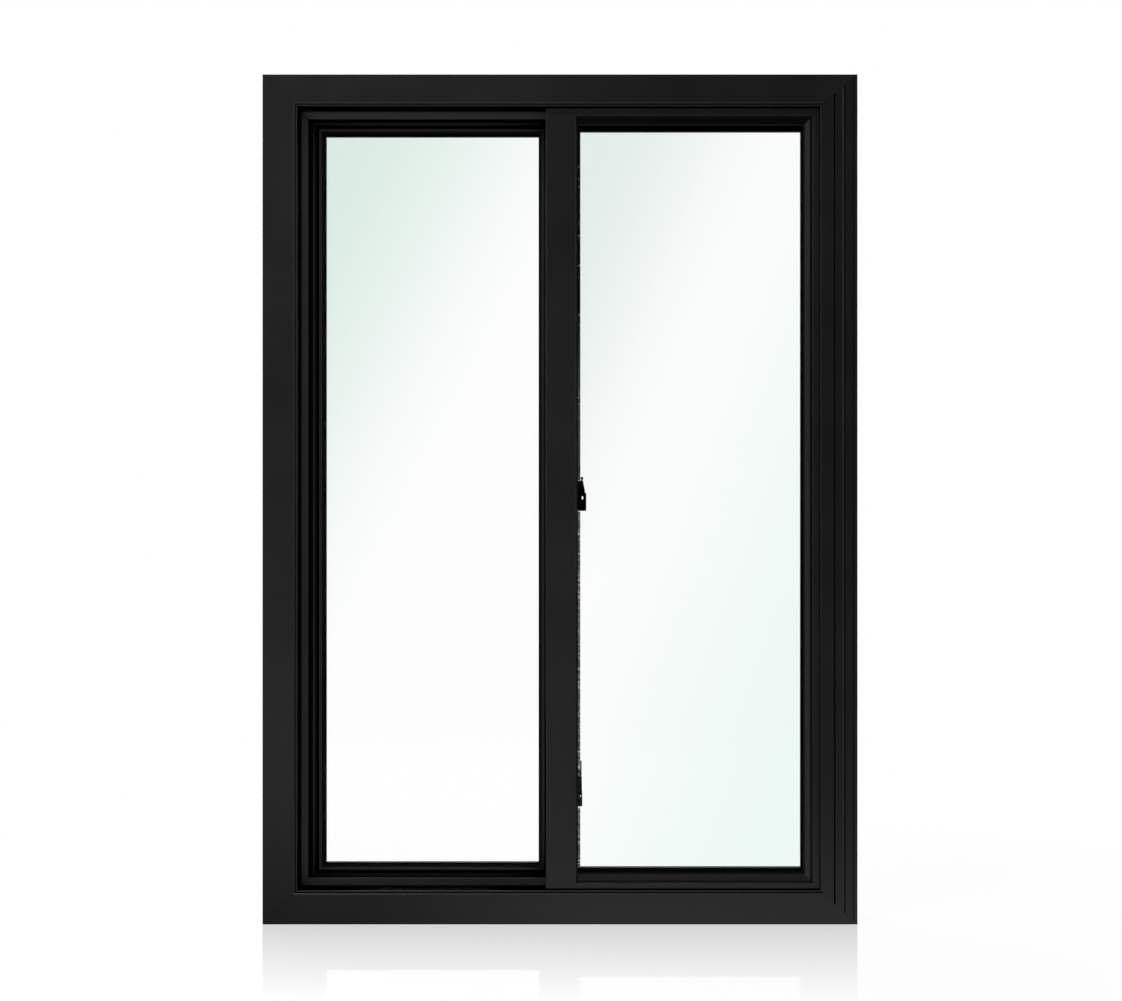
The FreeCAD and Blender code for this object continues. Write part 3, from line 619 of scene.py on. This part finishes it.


# Painted reflections of a pale green wall across each lite.
sash_painted_reflections = [((-0.275, 0, 0.93), (0.266, 0, -0.138), (0.842, 0.924, 0.885, 1))]
lite_painted_reflections = [
    ((0.04, 0, 0.92), (0.204, 0, -0.09), (0.885, 0.93, 0.91, 1)),
    ((0.27, 0, 0.14), (-0.342, 0, 0.1245), (0.928, 0.98, 0.963, 1)),
]
cover(glass("sash_glass", sash_painted_reflections), "sash_outer_pane", "sash_inner_pane")
cover(glass("lite_glass", lite_painted_reflections), "fixed_outer_pane", "fixed_inner_pane")

# %% [markdown]
# ## Rubber, spacer, metal and nylon
#
# The gasket is dull black rubber, the spacer a charcoal strip, the roller rail bare satin aluminium drawn
# along its length, the rollers dark nylon, and the locks die-cast metal under black paint. They share the
# grain group, each with its own scale, colours and gloss.

# %% A grained finish
grained_bump = 0.4
grained_clouds = 30.0
top_grey = grey(0.02)


def grained(name, dark, light, rough, fine, settings, stretch=(1, 1, 1), darken_above=None):
    material, tree, shader, place = start_finish(name, settings)
    inputs = {"Place": place, "Stretch": stretch, "Fine Scale": fine, "Broad Scale": grained_clouds}
    parts = place_group(tree, grain, inputs)
    colour = blend_colours(tree, parts["Tone"], dark, light)
    if darken_above:
        darkening = spread(tree, parts_of(tree, place)["Z"], *darken_above, 0, 1)
        colour = blend_colours(tree, darkening, colour, top_grey)
    tree.links.new(colour, shader.inputs["Base Color"])
    tree.links.new(spread(tree, parts["Rough"], 0, 1, *rough), shader.inputs["Roughness"])
    inputs = {"Strength": grained_bump, "Distance": bump_depth, "Height": parts["Height"]}
    tree.links.new(add_node(tree, "ShaderNodeBump", inputs).outputs[0], shader.inputs["Normal"])
    return material


print("grained finish with a bump of", grained_bump)

# %% [markdown]
# Each finish is given its darkest and its lightest tone, its range of roughness, the scale of its fine grain
# and its gloss. The locks get none, because they are seen against the light and have to stay black.


# %% Finish the small parts
def gloss(level):
    return {"Specular IOR Level": level}


rubber = grained("gasket_rubber", grey(0.003), grey(0.006), (0.6, 0.75), 2500.0, gloss(0.25))
charcoal = grained("spacer_charcoal", grey(0.003), grey(0.006), (0.6, 0.7), 1800.0, gloss(0.2))
aluminium = grained("rail_aluminium", (0.5, 0.51, 0.52, 1), (0.62, 0.63, 0.64, 1), (0.25, 0.4), 900.0,
                    {"Metallic": 1.0}, stretch=along_x)
nylon = grained("roller_nylon", grey(0.022), grey(0.036), (0.38, 0.5), 900.0, gloss(0.4))
paint = grained("lock_paint", grey(0.002), grey(0.004), (0.75, 0.9), 2200.0, gloss(0.0))
roller_parts = itertools.product(("left", "right"), ("carriage", "wheel"))
lock_parts = itertools.product(("mid", "low"), ("base", "lever", "keeper"))
cover(rubber, "fixed_gasket", "sash_gasket")
cover(charcoal, "fixed_spacer", "sash_spacer")
cover(aluminium, "roller_rail")
cover(nylon, *["%s_roller_%s" % names for names in roller_parts])
cover(paint, *["%s_lock_%s" % names for names in lock_parts])

# %% [markdown]
# ## Weatherstrip
#
# Weatherstrip is a woven backing with a dense brush of short fibres. The CAD model has only a tapered strip
# in its place. Thousands of equal bristles that differ a little in lean and length are work for Geometry
# Nodes: a grid of points is jittered, a three-sided fibre is placed on every point, and the backing is joined
# to them. The tree works flat on the ground, and each strip is then turned to where it belongs.


# %% Start and end a tree
def start_tree(name, inputs):
    tree = bpy.data.node_groups.new(name, "GeometryNodeTree")
    for title, kind in inputs:
        tree.interface.new_socket(name=title, in_out="INPUT", socket_type=kind)
    tree.interface.new_socket(name="Geometry", in_out="OUTPUT", socket_type="NodeSocketGeometry")
    return tree, tree.nodes.new("NodeGroupInput").outputs, tree.nodes.new("NodeGroupOutput")


def end_tree(tree, geometry, material, result):
    solid = add_node(tree, "GeometryNodeRealizeInstances", {0: geometry})
    inputs = {"Geometry": solid.outputs[0], "Material": material}
    painted = add_node(tree, "GeometryNodeSetMaterial", inputs)
    tree.links.new(painted.outputs[0], result.inputs[0])


def vector_of(tree, x=0.0, y=0.0, z=0.0):
    return add_node(tree, "ShaderNodeCombineXYZ", {0: x, 1: y, 2: z}).outputs[0]


def random_vector(tree, low, high, seed):
    ends = {0: low, 1: high, "Seed": seed}
    return add_node(tree, "FunctionNodeRandomValue", ends, data_type="FLOAT_VECTOR").outputs[0]


print("ready to write trees")

# %% [markdown]
# The fibres keep a margin at the strip's ends and stand on the middle part of its width, on a grid whose
# points are shifted a little. Lengths are in metres.

# %% The brush tree: where the fibres stand
brush_inputs = [
    ("Length", "NodeSocketFloat"),
    ("Width", "NodeSocketFloat"),
    ("Backing", "NodeSocketFloat"),
    ("Reach", "NodeSocketFloat"),
    ("Spacing", "NodeSocketFloat"),
    ("Rows", "NodeSocketInt"),
    ("Seed", "NodeSocketInt"),
    ("Fibre", "NodeSocketMaterial"),
]
end_margin = 0.0012
tuft_share = 0.62
shift = 0.0003
brush, given, result = start_tree("brush", brush_inputs)
grid = {
    "Size X": sum_up(brush, "SUBTRACT", given["Length"], end_margin),
    "Size Y": sum_up(brush, "MULTIPLY", given["Width"], tuft_share),
    "Vertices X": sum_up(brush, "DIVIDE", given["Length"], given["Spacing"]),
    "Vertices Y": given["Rows"],
}
spots = add_node(brush, "GeometryNodeMeshGrid", grid).outputs[0]
jitter = random_vector(brush, (-shift, -shift, 0), (shift, shift, 0), given["Seed"])
shaken = add_node(brush, "GeometryNodeSetPosition", {"Geometry": spots, "Offset": jitter}).outputs[0]
print("fibres shifted by up to", shift * 1000, "mm")

# %% [markdown]
# A fibre is a thin three-sided cone without caps. Each one leans and twists by chance, in radians, and also
# leans by its distance from the strip's middle line, so that the brush isn't one plain block. A chance scale
# makes some thinner and some shorter.

# %% The brush tree: fibres
lean = 0.07
twist = 1.5
gather_turn = 110.0
fibre_tip, fibre_foot = 0.00033, 0.00036
thin_short, thick_long = (0.9, 0.9, 0.94), (1.1, 1.1, 0.99)
fibre_length = sum_up(brush, "SUBTRACT", given["Reach"], given["Backing"])
cone = {"Vertices": 3, "Radius Top": fibre_tip, "Radius Bottom": fibre_foot, "Depth": fibre_length}
fibre = add_node(brush, "GeometryNodeMeshCone", cone, fill_type="NONE").outputs[0]
spot = parts_of(brush, add_node(brush, "GeometryNodeInputPosition").outputs[0])
gather = vector_of(brush, x=sum_up(brush, "MULTIPLY", spot["Y"], gather_turn))
leaning = random_vector(brush, (-lean, -lean, 0), (lean, lean, twist), given["Seed"])
turned = vector_sum(brush, "ADD", leaning, gather)["Vector"]
tall = random_vector(brush, thin_short, thick_long, given["Seed"])
brushing = {"Points": shaken, "Instance": fibre, "Rotation": turned, "Scale": tall}
fibres = add_node(brush, "GeometryNodeInstanceOnPoints", brushing).outputs[0]
lifted = {"Instances": fibres, "Translation": vector_of(brush, z=given["Backing"])}
raised = add_node(brush, "GeometryNodeTranslateInstances", lifted)
print("fibres with a radius of", fibre_tip * 1000, "mm at their tips")

# %% [markdown]
# The backing is a plain flat bar under the fibres. Both are joined, made real and given the fibres' material.

# %% The brush tree: backing
strip_size = vector_of(brush, given["Length"], given["Width"], given["Backing"])
strip = add_node(brush, "GeometryNodeMeshCube", {"Size": strip_size}).outputs[0]
strip_rise = vector_of(brush, z=sum_up(brush, "MULTIPLY", given["Backing"], 0.5))
strip = add_node(brush, "GeometryNodeTransform", {"Geometry": strip, "Translation": strip_rise})
joined = add_node(brush, "GeometryNodeJoinGeometry")
for geometry in (strip, raised):
    brush.links.new(geometry.outputs[0], joined.inputs[0])
end_tree(brush, joined.outputs[0], given["Fibre"], result)
print("brush tree with", len(brush.nodes), "nodes")

# %% [markdown]
# A tree runs as a modifier on an empty mesh. Its inputs are set by their identifiers before the object is
# first evaluated, the result is copied out as a plain mesh, and the mesh is then moved to its place. The copy
# also has an empty material slot, left by the simple shapes inside the tree, and only the filled one is kept.


# %% Run a tree
def run_tree(tree, inputs, place):
    carrier = bpy.data.objects.new("carrier", bpy.data.meshes.new("carrier"))
    bpy.context.scene.collection.objects.link(carrier)
    modifier = carrier.modifiers.new("tree", "NODES")
    modifier.node_group = tree
    for item in tree.interface.items_tree:
        if item.in_out == "INPUT" and item.name in inputs:
            modifier[item.identifier] = inputs[item.name]
    graph = bpy.context.evaluated_depsgraph_get()
    mesh = bpy.data.meshes.new_from_object(carrier.evaluated_get(graph))
    mesh.transform(place)
    bpy.data.objects.remove(carrier)
    return mesh


def join_meshes(name, meshes):
    points, faces, materials = [], [], []
    for mesh in meshes:
        start = len(points)
        points += [tuple(v.co) for v in mesh.vertices]
        faces += [tuple(start + i for i in face.vertices) for face in mesh.polygons]
        materials = [material for material in mesh.materials if material]
    whole = bpy.data.meshes.new(name)
    whole.from_pydata(points, [], faces)
    for material in materials:
        whole.materials.append(material)
    piece = bpy.data.objects.new(name, whole)
    bpy.context.scene.collection.objects.link(piece)
    print(name, len(faces), "faces")
    return piece


def placed(origin, length_axis, stand_axis):
    width_axis = stand_axis.cross(length_axis)
    turn = Matrix((length_axis, width_axis, stand_axis)).transposed().to_4x4()
    return Matrix.Translation(origin) @ turn


X, Y, Z = Vector((1, 0, 0)), Vector((0, 1, 0)), Vector((0, 0, 1))
print("ready to run trees")

# %% [markdown]
# A strip is given by its box, the axis it runs along and the axis its fibres stand on. The finished piece
# takes the place of a CAD strip and rides with the window. Every strip has a seed of its own, so that no two
# have the same fibres.

# %% Strips of any size
backing = 0.001
fibre_spacing = 0.0006
seeds = itertools.count(1)


def brush_strip(low, high, length_axis, stand_axis, fibre, rows=6):
    width_axis = stand_axis.cross(length_axis)
    size = high - low
    reach = abs(size.dot(stand_axis))
    root = (low + high) / 2 - stand_axis * reach / 2
    inputs = {
        "Length": abs(size.dot(length_axis)),
        "Width": abs(size.dot(width_axis)),
        "Backing": backing,
        "Reach": reach,
        "Spacing": fibre_spacing,
        "Rows": rows,
        "Seed": next(seeds),
        "Fibre": fibre,
    }
    return run_tree(brush, inputs, placed(root, length_axis, stand_axis))


def weatherstrip(name, node, meshes):
    piece = join_meshes(name, meshes)
    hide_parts(node)
    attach(piece, "root")


print("strips with a fibre every", fibre_spacing * 1000, "mm")

# %% [markdown]
# The head, the sill and the left jamb each carry two strips that face each other across the track, one on the
# divider and one on the inner leg. They could be set on every member by hand, but the CAD strips' boxes
# already say where they lie.

# %% Strips of the frame
fibre_rough = (0.75, 0.9)
fibre_grey = grained("brush_fibre", grey(0.14), grey(0.26), fibre_rough, 1200.0, gloss(0.2))
pile_reach = 0.0047
for side, axis in (("head", X), ("sill", X), ("jamb", Z)):
    low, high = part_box(side + "_pile")
    outer = brush_strip(low, Vector((high.x, low.y + pile_reach, high.z)), axis, Y, fibre_grey)
    inner = brush_strip(Vector((low.x, high.y - pile_reach, low.z)), high, axis, -Y, fibre_grey)
    weatherstrip(side + "_brush", side + "_pile", [outer, inner])

# %% [markdown]
# The sash's meeting stile carries one strip on its edge, which stops at the locks. It is the grey line seen
# beside the stile through the fixed glass. Little lamp light reaches it there, so its fibres get a pale
# finish of their own as painted light, which turns dark towards the top. Daylight comes through the two lower
# lengths, so they have fewer rows of fibres.

# %% Strip of the sash
dark_top_ends = (0.64, 0.74)
# Painted light: pale fibres stand in for light that hardly reaches them; they turn dark towards the top.
fibre_painted_light = grained("painted_light_fibre", grey(0.7), grey(0.9), fibre_rough, 1200.0, gloss(0.2),
                      darken_above=dark_top_ends)
low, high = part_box("sash_edge_pile")
lock_gap = 0.0005
stops = [low.z]
for which in ("low", "mid"):
    base_low, base_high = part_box(which + "_lock_base")
    stops += [base_low.z - lock_gap, base_high.z + lock_gap]
stops.append(high.z)
edge_rows = (2, 2, 4)
edge_strips = []
for bottom, top, rows in zip(stops[0::2], stops[1::2], edge_rows):
    strip_low, strip_high = Vector((low.x, low.y, bottom)), Vector((high.x, high.y, top))
    edge_strips.append(brush_strip(strip_low, strip_high, Z, X, fibre_painted_light, rows))
weatherstrip("sash_edge_brush", "sash_edge_pile", edge_strips)

# %% [markdown]
# ## Spacer perforations
#
# The strip between two panes holds a drying agent, and rows of small slots let it breathe. They are in the
# face that looks at the cavity, so they show when one looks through the glass at a slant. Two lines of points
# with a slot shape on each point make the rows of one side.

# %% The slot tree
slot_inputs = [
    ("Length", "NodeSocketFloat"),
    ("Spacing", "NodeSocketFloat"),
    ("Row Gap", "NodeSocketFloat"),
    ("Slot Length", "NodeSocketFloat"),
    ("Slot Width", "NodeSocketFloat"),
    ("Dark", "NodeSocketMaterial"),
]
slots, given, result = start_tree("slot_rows", slot_inputs)
grid = {
    "Size X": given["Length"],
    "Size Y": given["Row Gap"],
    "Vertices X": sum_up(slots, "DIVIDE", given["Length"], given["Spacing"]),
    "Vertices Y": 2,
}
spots = add_node(slots, "GeometryNodeMeshGrid", grid).outputs[0]
oval = add_node(slots, "GeometryNodeMeshCircle", {"Vertices": 10, "Radius": 0.5}, fill_type="NGON").outputs[0]
oval_size = vector_of(slots, given["Slot Length"], given["Slot Width"], 1.0)
oval = add_node(slots, "GeometryNodeTransform", {"Geometry": oval, "Scale": oval_size}).outputs[0]
rows = add_node(slots, "GeometryNodeInstanceOnPoints", {"Points": spots, "Instance": oval}).outputs[0]
end_tree(slots, rows, given["Dark"], result)
print("slot tree with", len(slots.nodes), "nodes")

# %% [markdown]
# The slots are flat dark ovals, painted shade standing in for the shade inside real holes. They lie a hair
# above the spacer's inner face, so that the two don't flicker. That face is found in the CAD mesh, as the
# points that aren't on its outer edge. Cutting real holes would add nothing that can be seen.

# %% Perforate the spacers
# Painted shade: the slots are near-black ovals in place of holes.
hole_painted_shade = grained("slot_painted_shade", grey(0.0005), grey(0.001), (0.85, 0.95), 2000.0, gloss(0.05))
slot_lift = 0.00004
corner_margin = 0.02
slot_sizes = {
    "Spacing": 0.005,
    "Row Gap": 0.0045,
    "Slot Length": 0.0018,
    "Slot Width": 0.0006,
    "Dark": hole_painted_shade,
}


def inner_ring(node):
    low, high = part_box(node)
    edge = 0.002
    points = [v.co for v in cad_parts[node].data.vertices]
    xs = [p.x for p in points if low.x + edge < p.x < high.x - edge]
    zs = [p.z for p in points if low.z + edge < p.z < high.z - edge]
    return min(xs), max(xs), min(zs), max(zs), (low.y + high.y) / 2


def perforate(name, node):
    left, right, bottom, top, depth = inner_ring(node)
    middle_x, middle_z = (left + right) / 2, (bottom + top) / 2
    sides = [
        (Vector((left + slot_lift, depth, middle_z)), Z, X, top - bottom),
        (Vector((right - slot_lift, depth, middle_z)), Z, -X, top - bottom),
        (Vector((middle_x, depth, bottom + slot_lift)), X, Z, right - left),
        (Vector((middle_x, depth, top - slot_lift)), X, -Z, right - left),
    ]
    meshes = []
    for origin, length_axis, stand_axis, length in sides:
        inputs = {"Length": length - corner_margin, **slot_sizes}
        meshes.append(run_tree(slots, inputs, placed(origin, length_axis, stand_axis)))
    piece = join_meshes(name, meshes)
    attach(piece, "root")


perforate("fixed_spacer_slots", "fixed_spacer")
perforate("sash_spacer_slots", "sash_spacer")

# %% [markdown]
# ## Lock screws
#
# Two small pan-head screws hold each lock to the sash, beside the lever. A screw head is a low cone with a
# cross cut into it, so the tree makes the head once, subtracts two bars from it and places the result on
# every point. The shares are of the head's radius.

# %% The screw tree
screw_inputs = [
    ("Across", "NodeSocketFloat"),
    ("Head Radius", "NodeSocketFloat"),
    ("Head Height", "NodeSocketFloat"),
    ("Metal", "NodeSocketMaterial"),
]
top_share = 0.72
bar_length_share = 1.15
bar_width_share = 0.26
cross_turn = 0.4
screws, given, result = start_tree("screw_pair", screw_inputs)
cone = {
    "Vertices": 24,
    "Side Segments": 2,
    "Radius Top": sum_up(screws, "MULTIPLY", given["Head Radius"], top_share),
    "Radius Bottom": given["Head Radius"],
    "Depth": given["Head Height"],
}
head = add_node(screws, "GeometryNodeMeshCone", cone).outputs[0]
bar_long = sum_up(screws, "MULTIPLY", given["Head Radius"], bar_length_share)
bar_wide = sum_up(screws, "MULTIPLY", given["Head Radius"], bar_width_share)
bar_rise = vector_of(screws, z=given["Head Height"])
bars = add_node(screws, "GeometryNodeJoinGeometry")
for long_side, short_side in ((bar_long, bar_wide), (bar_wide, bar_long)):
    size = vector_of(screws, long_side, short_side, given["Head Height"])
    bar = add_node(screws, "GeometryNodeMeshCube", {"Size": size}).outputs[0]
    bar = add_node(screws, "GeometryNodeTransform", {"Geometry": bar, "Translation": bar_rise})
    screws.links.new(bar.outputs[0], bars.inputs[0])
cut = add_node(screws, "GeometryNodeMeshBoolean", {"Mesh 1": head}, operation="DIFFERENCE", solver="EXACT")
cut.inputs["Self Intersection"].default_value = True
screws.links.new(bars.outputs[0], cut.inputs["Mesh 2"])
first = vector_of(screws, y=sum_up(screws, "MULTIPLY", given["Across"], -0.5))
step = vector_of(screws, y=given["Across"])
line = {"Count": 2, "Start Location": first, "Offset": step}
pair = add_node(screws, "GeometryNodeMeshLine", line).outputs[0]
placing = {"Points": pair, "Instance": cut.outputs[0], "Rotation": (0, 0, cross_turn)}
heads = add_node(screws, "GeometryNodeInstanceOnPoints", placing).outputs[0]
end_tree(screws, heads, given["Metal"], result)
print("screw tree with", len(screws.nodes), "nodes")

# %% [markdown]
# The heads sit on the face of each lock's base, near its upper end. They are dark plated steel, a little
# brighter than the paint around them, and each pair is one piece.

# %% Screw the locks on
screw_metal = grained("screw_metal", grey(0.03), grey(0.06), (0.3, 0.45), 1500.0, {"Metallic": 0.9})
screw_drop = 0.0042
screw_sizes = {"Across": 0.0128, "Head Radius": 0.002, "Head Height": 0.0009, "Metal": screw_metal}
for which in ("mid", "low"):
    low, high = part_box(which + "_lock_base")
    origin = Vector((high.x, (low.y + high.y) / 2, high.z - screw_drop))
    piece = join_meshes(which + "_lock_screws", [run_tree(screws, screw_sizes, placed(origin, Z, X))])
    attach(piece, "root")

# %% [markdown]
# ## Measure and finish
#
# Dressing the window must not change its size, so its box is compared with the one from the start.

# %% Compare the sizes
low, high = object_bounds()
print("grown by", [round(v * 1000, 3) for v in (high - low) - (cad_high - cad_low)], "mm")
